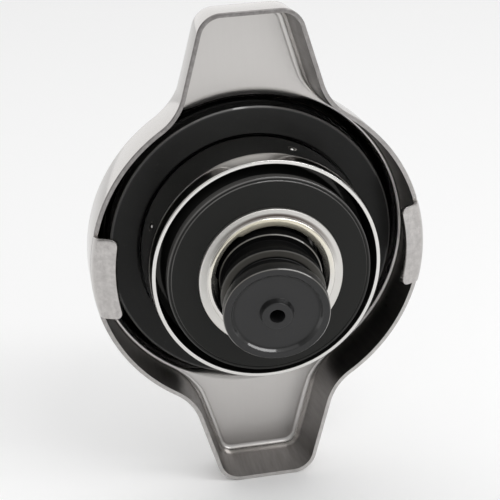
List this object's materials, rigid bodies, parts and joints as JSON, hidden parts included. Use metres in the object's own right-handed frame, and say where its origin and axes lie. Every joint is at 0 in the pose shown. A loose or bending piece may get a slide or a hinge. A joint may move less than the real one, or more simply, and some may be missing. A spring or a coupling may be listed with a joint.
{
  "type": "radiator pressure cap",
  "caption": "Two-eared pressed steel pressure cap for a radiator filler neck, with cam tabs, a turning rubber gasket, a spring-loaded pressure valve and a loose vented vacuum valve.",
  "frame": {"origin": "centre of the plateau's outer face, on the cap's axis, with the cap lying on its back", "axes": "+Z along the cap's axis, from the plateau towards the valves; +Y from the axis towards the tip of one ear"},
  "size_m": [0.0416, 0.0636, 0.0252],
  "materials": {
    "shell_steel": "satin",
    "polished_steel": "polished",
    "spring_steel": "satin",
    "gasket_rubber": "gloss",
    "seal_rubber": "matte",
    "stem_plastic": "satin"
  },
  "bodies": {
    "shell": {"cap_shell": "shell_steel"},
    "inner_assembly": {"diaphragm_spring": "spring_steel", "neck_gasket": "gasket_rubber", "bell_cup": "polished_steel", "center_rivet": "spring_steel", "rivet_washer": "spring_steel", "pressure_spring": "spring_steel"},
    "pressure_valve": {"valve_plate": "polished_steel", "pressure_seal": "seal_rubber", "seal_retainer": "polished_steel", "vacuum_seat": "seal_rubber"},
    "vacuum_valve": {"vacuum_stem": "stem_plastic", "stem_clip": "spring_steel"}
  },
  "joints": [
    {"name": "shell_swivel", "type": "hinge", "parent": "shell", "child": "inner_assembly", "pos_m": [0, 0, 0], "axis": [0, 0, 1], "continuous": true},
    {"name": "pressure_slide", "type": "slide", "parent": "inner_assembly", "child": "pressure_valve", "axis": [0, 0, -1], "range_m": [0, 0.0023], "stiffness_N_per_m": 2000, "springref_m": -0.001, "deforming": ["pressure_spring"]},
    {"name": "vacuum_slide", "type": "slide", "parent": "pressure_valve", "child": "vacuum_valve", "axis": [0.1222, 0.1682, 0.9781], "range_m": [0, 0.0015]}
  ]
}
